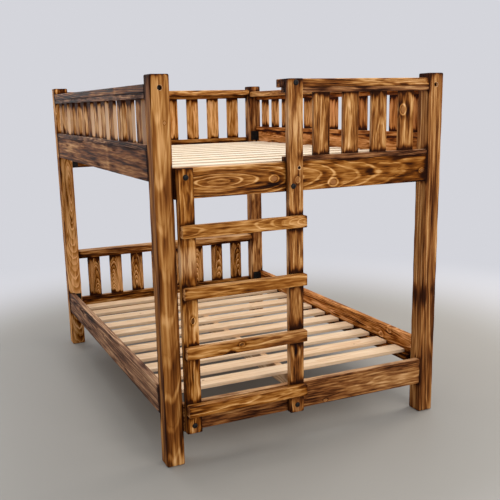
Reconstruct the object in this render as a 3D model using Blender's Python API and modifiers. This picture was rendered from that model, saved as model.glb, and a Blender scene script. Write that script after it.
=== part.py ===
"""Rustic bunk bed: square posts, two slatted decks, slatted guards, a low headboard and a bolted ladder.

The bed stands on the floor with +Z up. Its width runs along X and its length along Y. The foot end,
which carries the ladder, faces -Y, and the origin is on the floor in the middle of the whole bed.
"""
import math
from collections import namedtuple

import bmesh
import bpy
from mathutils import Matrix, Vector

# Overall size over the posts
BED_WIDTH = 1.562
BED_LENGTH = 2.236
BED_HEIGHT = 1.829

# Heights of the rails, guards and headboard: drops are from the top of the posts
END_RAIL_HEIGHT = 0.168
SIDE_RAIL_RISE = 0.079
SIDE_GUARD_HEIGHT = 0.287
SIDE_CAP_DROP = 0.039
END_CAP_DROP = 0.024
HEADBOARD_RISE = 0.378

# Sections of the frame boards
POST_WIDTH = 0.089
RAIL_DEPTH = 0.140
RAIL_THICKNESS = 0.038
CAP_THICKNESS = 0.038
STRIP_WIDTH = 0.038
STRIP_HEIGHT = 0.024

# Upright slats of the guards and the headboard, tenoned into their strips
GUARD_SLAT_WIDTH = 0.089
GUARD_SLAT_THICKNESS = 0.019
GUARD_SLAT_GAP = 0.075
GUARD_SLAT_TENON = 0.010

# Ledgers along the side rails, the support under the middle of each deck, and the bed slats
LEDGER_WIDTH = 0.038
LEDGER_HEIGHT = 0.036
LEDGER_RAISE = 0.002
LEDGER_HOUSING = 0.008
LEDGER_SETBACK = 0.050
SUPPORT_THICKNESS = 0.038
SUPPORT_DEPTH = 0.089
BED_SLAT_COUNT = 11
BED_SLAT_WIDTH = 0.098
BED_SLAT_THICKNESS = 0.019
BED_SLAT_END_CLEARANCE = 0.009
LOWER_SLAT_FOOT_SETBACK = 0.157
LOWER_SLAT_HEAD_SETBACK = 0.122
UPPER_SLAT_FOOT_SETBACK = 0.108
UPPER_SLAT_HEAD_SETBACK = 0.170

# Ladder on the outside of the foot end
LADDER_WIDTH = 0.630
LADDER_POST_GAP = 0.006
UPRIGHT_WIDTH = 0.076
UPRIGHT_THICKNESS = 0.038
RUNG_COUNT = 4
RUNG_DEPTH = 0.057
RUNG_THICKNESS = 0.038
FIRST_RUNG_HEIGHT = 0.264
LAST_RUNG_DROP = 0.111

# Bolt holes through the ladder and, counterbored, through the posts into the side caps
BOLT_HOLE_DIAMETER = 0.010
CAP_BOLT_REACH = 0.045
COUNTERBORE_DIAMETER = 0.021
COUNTERBORE_DEPTH = 0.022
SCREW_COUNTERBORE_DIAMETER = 0.014
SCREW_COUNTERBORE_DEPTH = 0.012
LOWER_BOLT_RISE = 0.040
LEFT_UPPER_BOLT_RISE = 0.100
RIGHT_UPPER_BOLT_RISE = 0.028
RIGHT_SCREW_RISE = 0.113
RIGHT_BOLT_STAGGER = 0.016
DRILL_OVERRUN = 0.005
DRILL_SIDES = 16

# Steel angles that tie the side rails to the posts
BRACKET_LEG = 0.045
BRACKET_HEIGHT = 0.068
BRACKET_THICKNESS = 0.003
BRACKET_BEND_RADIUS = 0.003
BRACKET_BEND_STEPS = 4
BRACKET_DROP = 0.008
BRACKET_HOLE_DIAMETER = 0.006
BRACKET_HOLE_SPACING = 0.036

# Eased edges, and the clearance between pieces that meet
POST_EDGE_RADIUS = 0.008
BOARD_EDGE_RADIUS = 0.004
SLAT_EDGE_RADIUS = 0.002
EDGE_SEGMENTS = 2
WELD_DISTANCE = 0.00001
FIT = 0.0003

# Planes that the pieces share
LADDER_DEPTH = UPRIGHT_THICKNESS + RUNG_THICKNESS + 2 * FIT
X_LEFT = -BED_WIDTH / 2
X_RIGHT = BED_WIDTH / 2
Y_FOOT = (LADDER_DEPTH - BED_LENGTH) / 2
Y_HEAD = Y_FOOT + BED_LENGTH
SIDE_RAIL_HEIGHT = END_RAIL_HEIGHT + SIDE_RAIL_RISE
LEDGER_TOP = SIDE_RAIL_HEIGHT + LEDGER_RAISE + LEDGER_HEIGHT
SIDE_CAP_TOP = BED_HEIGHT - SIDE_CAP_DROP
END_CAP_TOP = BED_HEIGHT - END_CAP_DROP
DECK_RISE = SIDE_CAP_TOP - SIDE_GUARD_HEIGHT - RAIL_DEPTH - SIDE_RAIL_HEIGHT
UPPER_END_RAIL_HEIGHT = END_RAIL_HEIGHT + DECK_RISE
UPPER_END_RAIL_TOP = UPPER_END_RAIL_HEIGHT + RAIL_DEPTH
CAP_WIDTH = POST_WIDTH
LADDER_LEFT = X_LEFT + POST_WIDTH + LADDER_POST_GAP
LADDER_RIGHT = LADDER_LEFT + LADDER_WIDTH
RIGHT_UPRIGHT_LEFT = LADDER_RIGHT - UPRIGHT_WIDTH

# One edge of the bed: the axis it runs along, its outer face, the way into the bed and the posts it joins
Edge = namedtuple("Edge", "axis outer inward start end")
LEFT = Edge("y", X_LEFT, 1, Y_FOOT + POST_WIDTH, Y_HEAD - POST_WIDTH)
RIGHT = Edge("y", X_RIGHT, -1, Y_FOOT + POST_WIDTH, Y_HEAD - POST_WIDTH)
FOOT = Edge("x", Y_FOOT, 1, X_LEFT + POST_WIDTH, X_RIGHT - POST_WIDTH)
HEAD = Edge("x", Y_HEAD, -1, X_LEFT + POST_WIDTH, X_RIGHT - POST_WIDTH)


def clear_scene():
    """Remove every object that the new file starts with."""
    for item in list(bpy.data.objects):
        bpy.data.objects.remove(item, do_unlink=True)


def new_collection(name, parent):
    """A collection linked under a parent collection."""
    collection = bpy.data.collections.new(name)
    parent.children.link(collection)
    return collection


def new_material(name, colour, roughness, metallic=0.0):
    """A Principled material with one colour."""
    material = bpy.data.materials.new(name)
    material.use_nodes = True
    shader = material.node_tree.nodes["Principled BSDF"]
    shader.inputs["Base Color"].default_value = (*colour, 1.0)
    shader.inputs["Roughness"].default_value = roughness
    shader.inputs["Metallic"].default_value = metallic
    return material


clear_scene()
PARTS = new_collection("bunk_bed", bpy.context.scene.collection)
CUTTERS = new_collection("bunk_bed_cutters", bpy.context.scene.collection)
POST_WOOD = new_material("post_wood", (0.42, 0.21, 0.07), 0.62)
RAIL_WOOD = new_material("rail_wood", (0.36, 0.17, 0.05), 0.62)
CAP_WOOD = new_material("cap_wood", (0.44, 0.22, 0.07), 0.60)
GUARD_WOOD = new_material("guard_wood", (0.34, 0.15, 0.045), 0.62)
LADDER_WOOD = new_material("ladder_wood", (0.38, 0.18, 0.055), 0.60)
PINE = new_material("bare_pine", (0.78, 0.60, 0.42), 0.72)
BLACK_STEEL = new_material("black_steel", (0.015, 0.015, 0.016), 0.45, 0.8)


def add_object(name, mesh, collection, material=None):
    """Put a mesh into a collection as a named object."""
    item = bpy.data.objects.new(name, mesh)
    collection.objects.link(item)
    if material is not None:
        mesh.materials.append(material)
    return item


def hide_tool(item):
    """Mark an object as a tool for a Boolean, not a piece of the bed."""
    item.hide_render = True
    item.display_type = "WIRE"


def corners(edge, along, inset, height):
    """Low and high corner of a board on an edge: a run along it, depths from its outer face, two heights."""
    across = sorted(edge.outer + edge.inward * depth for depth in inset)
    if edge.axis == "x":
        return Vector((along[0], across[0], height[0])), Vector((along[1], across[1], height[1]))
    return Vector((across[0], along[0], height[0])), Vector((across[1], along[1], height[1]))


def board(name, low_high, radius, material, collection=PARTS):
    """A sawn board between two corners, with its edges eased to a radius."""
    low, high = low_high
    shape = bmesh.new()
    bmesh.ops.create_cube(shape, size=1.0)
    bmesh.ops.scale(shape, vec=high - low, verts=shape.verts)
    mesh = bpy.data.meshes.new(name)
    shape.to_mesh(mesh)
    shape.free()
    item = add_object(name, mesh, collection, material)
    item.location = (low + high) / 2
    easing = item.modifiers.new("eased_edges", "BEVEL")
    easing.width = radius
    easing.segments = EDGE_SEGMENTS
    easing.limit_method = "NONE"
    return item


def drill(name, mouth, direction, diameter, depth, collection):
    """A round cutter that starts just outside a mouth and runs along a direction to a depth."""
    length = depth + DRILL_OVERRUN
    centre = Vector(mouth) + Vector(direction) * (depth - DRILL_OVERRUN) / 2
    turn = Vector(direction).to_track_quat("Z", "Y").to_matrix().to_4x4()
    shape = bmesh.new()
    bmesh.ops.create_cone(shape, cap_ends=True, segments=DRILL_SIDES, radius1=diameter / 2,
                          radius2=diameter / 2, depth=length, matrix=Matrix.Translation(centre) @ turn)
    mesh = bpy.data.meshes.new(name)
    shape.to_mesh(mesh)
    shape.free()
    hide_tool(add_object(name, mesh, collection))


def combine(item, operation, tools):
    """Join a collection of boards to an object, or cut a collection of drills out of it."""
    step = item.modifiers.new(operation.lower(), "BOOLEAN")
    step.operation = operation
    step.operand_type = "COLLECTION"
    step.collection = tools
    step.solver = "EXACT"


def build_posts():
    """Four posts from floor to top, each with a counterbored bolt hole that reaches into a side cap."""
    bolts = {}
    hole_height = SIDE_CAP_TOP - CAP_THICKNESS / 2
    depth = POST_WIDTH + FIT + CAP_BOLT_REACH
    for end, outer, inward in (("foot", Y_FOOT, 1), ("head", Y_HEAD, -1)):
        for side, low_x in (("left", X_LEFT), ("right", X_RIGHT - POST_WIDTH)):
            low_y = min(outer, outer + inward * POST_WIDTH)
            low = Vector((low_x, low_y, 0.0))
            size = Vector((POST_WIDTH, POST_WIDTH, BED_HEIGHT))
            post = board(f"{end}_{side}_post", (low, low + size), POST_EDGE_RADIUS, POST_WOOD)
            tools = new_collection(f"{end}_{side}_cap_bolt", CUTTERS)
            mouth = (low_x + POST_WIDTH / 2, outer, hole_height)
            way = (0.0, inward, 0.0)
            drill(f"{end}_{side}_counterbore", mouth, way, COUNTERBORE_DIAMETER, COUNTERBORE_DEPTH, tools)
            drill(f"{end}_{side}_bolt_hole", mouth, way, BOLT_HOLE_DIAMETER, depth, tools)
            combine(post, "DIFFERENCE", tools)
            bolts[end, side] = tools
    return bolts


def build_rails(ladder_bolts):
    """End rails, and higher side rails that each carry a ledger for the slats."""
    for deck, rise in (("lower", 0.0), ("upper", DECK_RISE)):
        for name, edge in (("foot", FOOT), ("head", HEAD)):
            low = END_RAIL_HEIGHT + rise
            run = (edge.start + FIT, edge.end - FIT)
            place = corners(edge, run, (0.0, RAIL_THICKNESS), (low, low + RAIL_DEPTH))
            rail = board(f"{deck}_{name}_rail", place, BOARD_EDGE_RADIUS, RAIL_WOOD)
            if edge is FOOT:
                combine(rail, "DIFFERENCE", ladder_bolts)
        for name, edge in (("left", LEFT), ("right", RIGHT)):
            low = SIDE_RAIL_HEIGHT + rise
            run = (edge.start + FIT, edge.end - FIT)
            place = corners(edge, run, (0.0, RAIL_THICKNESS), (low, low + RAIL_DEPTH))
            rail = board(f"{deck}_{name}_rail", place, BOARD_EDGE_RADIUS, RAIL_WOOD)
            ledger_run = (edge.start + LEDGER_SETBACK, edge.end - LEDGER_SETBACK)
            ledger_inset = (RAIL_THICKNESS - LEDGER_HOUSING, RAIL_THICKNESS + LEDGER_WIDTH)
            ledger_height = (low + LEDGER_RAISE, low + LEDGER_RAISE + LEDGER_HEIGHT)
            tools = new_collection(f"{deck}_{name}_ledger_pieces", CUTTERS)
            place = corners(edge, ledger_run, ledger_inset, ledger_height)
            hide_tool(board(f"{deck}_{name}_ledger", place, SLAT_EDGE_RADIUS, PINE, tools))
            combine(rail, "UNION", tools)


def guard_slat_starts(start, end):
    """Evenly spaced starts of as many guard slats as an opening takes, centred in it."""
    pitch = GUARD_SLAT_WIDTH + GUARD_SLAT_GAP
    count = round((end - start - GUARD_SLAT_GAP) / pitch)
    first = (start + end - count * pitch + GUARD_SLAT_GAP) / 2
    return [first + index * pitch for index in range(count)]


def build_guard(name, edge, run, opening, base, cap_top):
    """A slatted panel, with strips at its foot and head, and the flat cap that lies on it."""
    cap_low = cap_top - CAP_THICKNESS
    lower_strip = (base + FIT, base + FIT + STRIP_HEIGHT)
    upper_strip = (cap_low - FIT - STRIP_HEIGHT, cap_low - FIT)
    place = corners(edge, run, (0.0, STRIP_WIDTH), lower_strip)
    panel = board(f"{name}_panel", place, SLAT_EDGE_RADIUS, GUARD_WOOD)
    tools = new_collection(f"{name}_panel_pieces", CUTTERS)
    place = corners(edge, run, (0.0, STRIP_WIDTH), upper_strip)
    hide_tool(board(f"{name}_upper_strip", place, SLAT_EDGE_RADIUS, GUARD_WOOD, tools))
    slat_inset = ((STRIP_WIDTH - GUARD_SLAT_THICKNESS) / 2, (STRIP_WIDTH + GUARD_SLAT_THICKNESS) / 2)
    slat_height = (lower_strip[1] - GUARD_SLAT_TENON, upper_strip[0] + GUARD_SLAT_TENON)
    for index, start in enumerate(guard_slat_starts(*opening), 1):
        place = corners(edge, (start, start + GUARD_SLAT_WIDTH), slat_inset, slat_height)
        hide_tool(board(f"{name}_slat_{index}", place, SLAT_EDGE_RADIUS, GUARD_WOOD, tools))
    combine(panel, "UNION", tools)
    place = corners(edge, run, (0.0, CAP_WIDTH), (cap_low, cap_top))
    return board(f"{name}_cap", place, BOARD_EDGE_RADIUS, CAP_WOOD)


def build_guards(post_bolts, ladder_bolts):
    """Guards round the upper deck, open beside the ladder, and the headboard of the lower deck."""
    side_base = SIDE_CAP_TOP - SIDE_GUARD_HEIGHT
    end_base = END_RAIL_HEIGHT + RAIL_DEPTH
    for name, edge in (("left", LEFT), ("right", RIGHT)):
        run = (edge.start + FIT, edge.end - FIT)
        cap = build_guard(f"{name}_guard", edge, run, (edge.start, edge.end), side_base, SIDE_CAP_TOP)
        combine(cap, "DIFFERENCE", post_bolts["foot", name])
        combine(cap, "DIFFERENCE", post_bolts["head", name])
    run = (HEAD.start + FIT, HEAD.end - FIT)
    opening = (HEAD.start, HEAD.end)
    build_guard("head_guard", HEAD, run, opening, UPPER_END_RAIL_TOP, END_CAP_TOP)
    build_guard("headboard", HEAD, run, opening, end_base, end_base + HEADBOARD_RISE)
    run = (RIGHT_UPRIGHT_LEFT, FOOT.end - FIT)
    opening = (LADDER_RIGHT, FOOT.end)
    cap = build_guard("foot_guard", FOOT, run, opening, UPPER_END_RAIL_TOP, END_CAP_TOP)
    combine(cap, "DIFFERENCE", ladder_bolts)


def build_deck(deck, rise, foot_setback, head_setback):
    """Loose bed slats across the ledgers, over a support between the end rails."""
    slat_low = LEDGER_TOP + rise + FIT
    foot_face = Y_FOOT + RAIL_THICKNESS
    head_face = Y_HEAD - RAIL_THICKNESS
    low = Vector((-SUPPORT_THICKNESS / 2, foot_face + FIT, slat_low - FIT - SUPPORT_DEPTH))
    high = Vector((SUPPORT_THICKNESS / 2, head_face - FIT, slat_low - FIT))
    board(f"{deck}_centre_support", (low, high), BOARD_EDGE_RADIUS, PINE)
    reach = X_RIGHT - RAIL_THICKNESS - BED_SLAT_END_CLEARANCE
    first = foot_face + foot_setback
    last = head_face - head_setback - BED_SLAT_WIDTH
    for index in range(BED_SLAT_COUNT):
        start = first + (last - first) * index / (BED_SLAT_COUNT - 1)
        low = Vector((-reach, start, slat_low))
        high = Vector((reach, start + BED_SLAT_WIDTH, slat_low + BED_SLAT_THICKNESS))
        board(f"{deck}_slat_{index + 1:02d}", (low, high), SLAT_EDGE_RADIUS, PINE)


def drill_ladder():
    """Bolt holes through the uprights into the foot rails and the foot cap, with one screw counterbore."""
    tools = new_collection("ladder_bolts", CUTTERS)
    left_middle = LADDER_LEFT + UPRIGHT_WIDTH / 2
    right_middle = RIGHT_UPRIGHT_LEFT + UPRIGHT_WIDTH / 2
    through_rail = RAIL_THICKNESS + DRILL_OVERRUN
    lower_bolt = END_RAIL_HEIGHT + LOWER_BOLT_RISE
    left_upper_bolt = UPPER_END_RAIL_HEIGHT + LEFT_UPPER_BOLT_RISE
    right_upper_bolt = UPPER_END_RAIL_HEIGHT + RIGHT_UPPER_BOLT_RISE
    bolts = {
        "left_lower": (left_middle, lower_bolt, through_rail),
        "left_upper": (left_middle, left_upper_bolt, through_rail),
        "right_lower": (right_middle, lower_bolt, through_rail),
        "right_upper": (right_middle - RIGHT_BOLT_STAGGER, right_upper_bolt, through_rail),
        "right_top": (right_middle, END_CAP_TOP - CAP_THICKNESS / 2, CAP_BOLT_REACH),
    }
    front = Y_FOOT - UPRIGHT_THICKNESS - FIT
    way = (0.0, 1.0, 0.0)
    for name, (x, z, reach) in bolts.items():
        depth = UPRIGHT_THICKNESS + FIT + reach
        drill(f"{name}_ladder_bolt", (x, front, z), way, BOLT_HOLE_DIAMETER, depth, tools)
    mouth = (right_middle + RIGHT_BOLT_STAGGER, front, UPPER_END_RAIL_HEIGHT + RIGHT_SCREW_RISE)
    drill("ladder_screw_counterbore", mouth, way, SCREW_COUNTERBORE_DIAMETER, SCREW_COUNTERBORE_DEPTH, tools)
    return tools


def build_ladder(bolts):
    """Two uprights on the face of the foot rails, and rungs across the front of them."""
    uprights = (("left", LADDER_LEFT, UPPER_END_RAIL_TOP), ("right", RIGHT_UPRIGHT_LEFT, END_CAP_TOP))
    inset = (-FIT - UPRIGHT_THICKNESS, -FIT)
    for name, start, top in uprights:
        place = corners(FOOT, (start, start + UPRIGHT_WIDTH), inset, (END_RAIL_HEIGHT, top))
        upright = board(f"ladder_{name}_upright", place, BOARD_EDGE_RADIUS, LADDER_WOOD)
        combine(upright, "DIFFERENCE", bolts)
    inset = (-LADDER_DEPTH, -LADDER_DEPTH + RUNG_THICKNESS)
    last = UPPER_END_RAIL_HEIGHT - LAST_RUNG_DROP - RUNG_DEPTH
    for index in range(RUNG_COUNT):
        low = FIRST_RUNG_HEIGHT + (last - FIRST_RUNG_HEIGHT) * index / (RUNG_COUNT - 1)
        place = corners(FOOT, (LADDER_LEFT, LADDER_RIGHT), inset, (low, low + RUNG_DEPTH))
        board(f"ladder_rung_{index + 1}", place, BOARD_EDGE_RADIUS, LADDER_WOOD)


def evaluated_mesh(item):
    """A mesh of an object as its curve settings and modifiers make it."""
    bpy.context.view_layer.update()
    return bpy.data.meshes.new_from_object(item.evaluated_get(bpy.context.evaluated_depsgraph_get()))


def arc(centre, radius, first, last):
    """Points of an arc about a centre, between two angles in degrees."""
    points = []
    for step in range(BRACKET_BEND_STEPS + 1):
        angle = math.radians(first + (last - first) * step / BRACKET_BEND_STEPS)
        points.append((centre + radius * math.cos(angle), centre + radius * math.sin(angle)))
    return points


def bracket_mesh():
    """A plate bent to a right angle round a vertical bend, with two screw holes in each leg."""
    outer_radius = BRACKET_THICKNESS + BRACKET_BEND_RADIUS
    outline = [(BRACKET_LEG, 0.0), (BRACKET_LEG, BRACKET_THICKNESS)]
    outline += arc(outer_radius, BRACKET_BEND_RADIUS, 270, 180)
    outline += [(BRACKET_THICKNESS, BRACKET_LEG), (0.0, BRACKET_LEG)]
    outline += arc(outer_radius, outer_radius, 180, 270)
    curve = bpy.data.curves.new("bracket_outline", "CURVE")
    curve.dimensions = "2D"
    curve.fill_mode = "BOTH"
    curve.extrude = BRACKET_HEIGHT / 2
    spline = curve.splines.new("POLY")
    spline.points.add(len(outline) - 1)
    spline.use_cyclic_u = True
    for point, (x, y) in zip(spline.points, outline):
        point.co = (x, y, 0.0, 1.0)
    plate_curve = add_object("bracket_outline", curve, CUTTERS)
    solid = evaluated_mesh(plate_curve)
    bpy.data.objects.remove(plate_curve, do_unlink=True)
    shape = bmesh.new()
    shape.from_mesh(solid)
    bmesh.ops.remove_doubles(shape, verts=shape.verts, dist=WELD_DISTANCE)
    bmesh.ops.recalc_face_normals(shape, faces=shape.faces)
    shape.to_mesh(solid)
    shape.free()
    plate = add_object("bracket_plate", solid, CUTTERS)
    hide_tool(plate)
    tools = new_collection("bracket_screw_holes", CUTTERS)
    middle = (BRACKET_LEG + outer_radius) / 2
    depth = BRACKET_THICKNESS + DRILL_OVERRUN
    legs = (("rail", (0.0, middle), (1.0, 0.0, 0.0)), ("post", (middle, 0.0), (0.0, 1.0, 0.0)))
    for leg, (x, y), way in legs:
        for level, sign in (("lower", -1), ("upper", 1)):
            mouth = (x, y, sign * BRACKET_HOLE_SPACING / 2)
            drill(f"{leg}_leg_{level}_hole", mouth, way, BRACKET_HOLE_DIAMETER, depth, tools)
    combine(plate, "DIFFERENCE", tools)
    mesh = evaluated_mesh(plate)
    mesh.materials.append(BLACK_STEEL)
    return mesh


def build_brackets():
    """An angle in each inner corner of both decks, one leg on the side rail and one on the post."""
    mesh = bracket_mesh()
    left_face = X_LEFT + RAIL_THICKNESS + FIT
    right_face = X_RIGHT - RAIL_THICKNESS - FIT
    foot_face = Y_FOOT + POST_WIDTH + FIT
    head_face = Y_HEAD - POST_WIDTH - FIT
    inner_corners = (
        ("foot_left", left_face, foot_face, 0),
        ("foot_right", right_face, foot_face, 90),
        ("head_right", right_face, head_face, 180),
        ("head_left", left_face, head_face, 270),
    )
    for deck, rise in (("lower", 0.0), ("upper", DECK_RISE)):
        middle = SIDE_RAIL_HEIGHT + rise + RAIL_DEPTH - BRACKET_DROP - BRACKET_HEIGHT / 2
        for name, x, y, turn in inner_corners:
            bracket = add_object(f"{deck}_{name}_bracket", mesh, PARTS)
            bracket.location = (x, y, middle)
            bracket.rotation_euler = (0.0, 0.0, math.radians(turn))


def main():
    post_bolts = build_posts()
    ladder_bolts = drill_ladder()
    build_rails(ladder_bolts)
    build_guards(post_bolts, ladder_bolts)
    build_deck("lower", 0.0, LOWER_SLAT_FOOT_SETBACK, LOWER_SLAT_HEAD_SETBACK)
    build_deck("upper", DECK_RISE, UPPER_SLAT_FOOT_SETBACK, UPPER_SLAT_HEAD_SETBACK)
    build_ladder(ladder_bolts)
    build_brackets()


main()
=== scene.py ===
"""The looks of a bunk bed in torched pine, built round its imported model.

Each board is a closed lattice of points, worked out with numpy, that carries its own
grain: how far along, across and through the board every point lies. One torched finish
and one bare finish then follow each board's length, edges, ends, knots and joints.
"""

import math
from types import SimpleNamespace

import bpy
import numpy as np
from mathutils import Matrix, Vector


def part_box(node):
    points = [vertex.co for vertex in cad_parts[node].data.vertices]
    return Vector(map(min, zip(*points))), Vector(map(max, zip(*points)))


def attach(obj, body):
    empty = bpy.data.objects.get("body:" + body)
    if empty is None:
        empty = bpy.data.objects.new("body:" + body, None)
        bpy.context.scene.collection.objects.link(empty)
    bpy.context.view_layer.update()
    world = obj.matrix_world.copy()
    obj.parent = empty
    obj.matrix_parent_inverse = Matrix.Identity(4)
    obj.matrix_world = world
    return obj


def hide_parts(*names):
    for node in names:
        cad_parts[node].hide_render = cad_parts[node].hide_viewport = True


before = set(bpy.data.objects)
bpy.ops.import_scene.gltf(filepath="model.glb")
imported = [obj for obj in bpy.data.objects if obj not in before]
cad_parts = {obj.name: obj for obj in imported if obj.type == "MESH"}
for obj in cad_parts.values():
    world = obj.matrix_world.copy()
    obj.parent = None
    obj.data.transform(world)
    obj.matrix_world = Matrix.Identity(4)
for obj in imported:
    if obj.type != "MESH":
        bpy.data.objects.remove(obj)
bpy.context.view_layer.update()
dice = np.random.default_rng(7)


# Shader writing

class Value:
    """A shader socket for use in expressions: each operator adds one Math node."""

    def __init__(self, recipe, socket):
        self.recipe, self.socket = recipe, socket

    def __add__(self, other):
        return self.recipe.math("ADD", self, other)

    def __sub__(self, other):
        return self.recipe.math("SUBTRACT", self, other)

    def __rsub__(self, other):
        return self.recipe.math("SUBTRACT", other, self)

    def __mul__(self, other):
        return self.recipe.math("MULTIPLY", self, other)

    def __truediv__(self, other):
        return self.recipe.math("DIVIDE", self, other)

    def __rtruediv__(self, other):
        return self.recipe.math("DIVIDE", other, self)

    __radd__ = __add__
    __rmul__ = __mul__


class Recipe:
    """The node tree of a finish or of the surroundings, written as expressions."""

    def __init__(self, tree):
        self.tree = tree

    def feed(self, socket, value):
        """Link a value to a socket, or set a constant on it."""
        if isinstance(value, Value):
            self.tree.links.new(value.socket, socket)
        else:
            socket.default_value = value

    def node(self, kind, settings, sockets):
        """Add a node, set it up, feed its sockets, and return its outputs as values."""
        made = self.tree.nodes.new(kind)
        for name, value in settings.items():
            if name == "stops":
                stops = made.color_ramp.elements
                while len(stops) < len(value):
                    stops.new(1.0)
                for stop, (position, colour) in zip(stops, value):
                    stop.position, stop.color = position, (*colour, 1.0)
            else:
                setattr(made, name, value)
        for name, value in sockets.items():
            self.feed(made.inputs[name], value)
        return [Value(self, socket) for socket in made.outputs]

    def math(self, operation, *values):
        """One Math node over up to three values."""
        return self.node("ShaderNodeMath", {"operation": operation}, dict(enumerate(values)))[0]

    def clamp(self, value):
        """A value kept between 0 and 1."""
        return self.node("ShaderNodeClamp", {}, {0: value})[0]

    def smooth(self, value, start, end):
        """0 before start and 1 after end, with a smooth step between."""
        sockets = {"Value": value, "From Min": start, "From Max": end}
        return self.node("ShaderNodeMapRange", {"interpolation_type": "SMOOTHSTEP"}, sockets)[0]

    def fade(self, distance, reach):
        """1 at no distance, falling off exponentially over the reach."""
        return self.math("EXPONENT", distance * (-1.0 / reach))

    def attribute(self, name):
        """The outputs of a point attribute: its colour, vector, number and alpha."""
        return self.node("ShaderNodeAttribute", {"attribute_name": name}, {})

    def parts(self, name):
        """The three numbers of a vector attribute."""
        return self.node("ShaderNodeSeparateXYZ", {}, {0: self.attribute(name)[1]})

    def noise(self, place, scale, detail=2.0):
        """Noise about zero, mostly within half a unit, stretched by a scale on each axis."""
        moved = self.node("ShaderNodeVectorMath", {"operation": "MULTIPLY"}, {0: place, 1: scale})[0]
        sockets = {"Vector": moved, "Scale": 1.0, "Detail": detail, "Roughness": 0.55}
        return (self.node("ShaderNodeTexNoise", {}, sockets)[0] - 0.5) * 2.0

    def mix(self, share, first, second, blend="MIX"):
        """Two colours mixed by a share."""
        settings = {"data_type": "RGBA", "blend_type": blend}
        return self.node("ShaderNodeMix", settings, {0: share, 6: first, 7: second})[2]

    def direct_view(self):
        """1 for a ray from the camera, off a gloss or through a clear surface, and 0 for other light."""
        ray = {output.socket.name: output for output in self.node("ShaderNodeLightPath", {}, {})}
        seen = self.math("MAXIMUM", ray["Is Camera Ray"], ray["Is Glossy Ray"])
        return self.math("MAXIMUM", seen, ray["Is Transmission Ray"])


def new_finish(name, constants):
    """A material with constants set on its Principled shader, its recipe and the shader's sockets."""
    material = bpy.data.materials.new(name)
    material.use_nodes = True
    shader = material.node_tree.nodes["Principled BSDF"]
    for socket, value in constants.items():
        shader.inputs[socket].default_value = value
    return material, Recipe(material.node_tree), shader.inputs


# Finishes

def timber(recipe):
    """What every sawn board shows, as values over its surface.

    Growth rings are cylinders about a pith line that tilts and bows along the board. A ring's
    phase is the distance from that line, swayed by noise and pushed aside round each knot,
    divided by the ring pitch. Its fraction gives the place within a ring, its whole part a
    chance value for that ring.
    """
    along, across, through = recipe.parts("grain")
    half_along, half_across, half_through = recipe.parts("half")
    pith_across, pith_through, pith_slope = recipe.parts("pith")
    pitch, bow, seed = recipe.parts("figure")
    place = recipe.attribute("place")[1]

    bent = across + recipe.noise(place, (9.0, 22.0, 22.0)) * 0.0045
    knots, rims, shades, knot_rings = 0.0, 0.0, 0.0, 0.0
    for name in ("knot_a", "knot_b", "knot_c"):
        knot_along, knot_across, size = recipe.parts(name)
        far_along = (along - knot_along) * 0.72
        far_across = bent - knot_across
        far = recipe.math("SQRT", far_along * far_along + far_across * far_across)
        apart = far / size
        bent = bent - far_across * recipe.math("EXPONENT", apart * apart * -0.32) * 0.86
        knots = recipe.math("MAXIMUM", knots, 1.0 - recipe.smooth(apart, 0.70, 0.84))
        rim = recipe.smooth(apart, 0.92, 1.08) * (1.0 - recipe.smooth(apart, 1.14, 1.50))
        rims = recipe.math("MAXIMUM", rims, rim)
        shade = recipe.smooth(apart, 1.2, 1.6) * (1.0 - recipe.smooth(apart, 1.7, 2.8))
        shades = recipe.math("MAXIMUM", shades, shade)
        wave = recipe.math("SINE", apart * 18.0)
        knot_rings = knot_rings + wave * (1.0 - recipe.smooth(apart, 0.8, 1.0))

    sway_across = recipe.noise(place, (1.7, 4.0, 4.0)) * 0.020
    sway_through = recipe.noise(place, (2.1, 3.0, 5.0)) * 0.016
    ripple = recipe.noise(place, (9.0, 30.0, 30.0)) * 0.0036
    wide = bent - pith_across + sway_across
    deep = through - pith_through - along * (pith_slope + along * bow) + sway_through
    phase = (recipe.math("SQRT", wide * wide + deep * deep) + ripple) / pitch + seed
    ring = recipe.math("FLOOR", phase)
    share = phase - ring
    chance = recipe.node("ShaderNodeTexWhiteNoise", {"noise_dimensions": "1D"}, {"W": ring})[0]

    side = recipe.math("MAXIMUM", half_across - recipe.math("ABSOLUTE", across),
                       half_through - recipe.math("ABSOLUTE", through))
    end = half_along - recipe.math("ABSOLUTE", along)
    on_end = 1.0 - recipe.smooth(end, 0.0006, 0.0030)
    narrow = 1.0 - recipe.smooth(half_across - recipe.math("ABSOLUTE", across), 0.0006, 0.0024)
    return SimpleNamespace(
        along=along, across=across, share=share, chance=chance,
        side=side, end=end, on_end=on_end, narrow=narrow,
        knots=knots, rims=rims, shades=shades, knot_rings=knot_rings,
        broad=recipe.noise(place, (2.6, 9.0, 9.0)),
        streak=recipe.noise(place, (2.8, 36.0, 36.0)),
        fibre=recipe.noise(place, (11.0, 110.0, 110.0), 3.0),
        dash=recipe.noise(place, (10.0, 58.0, 58.0)),
        blotch=recipe.noise(place, (6.5, 24.0, 24.0)),
    )


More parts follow.
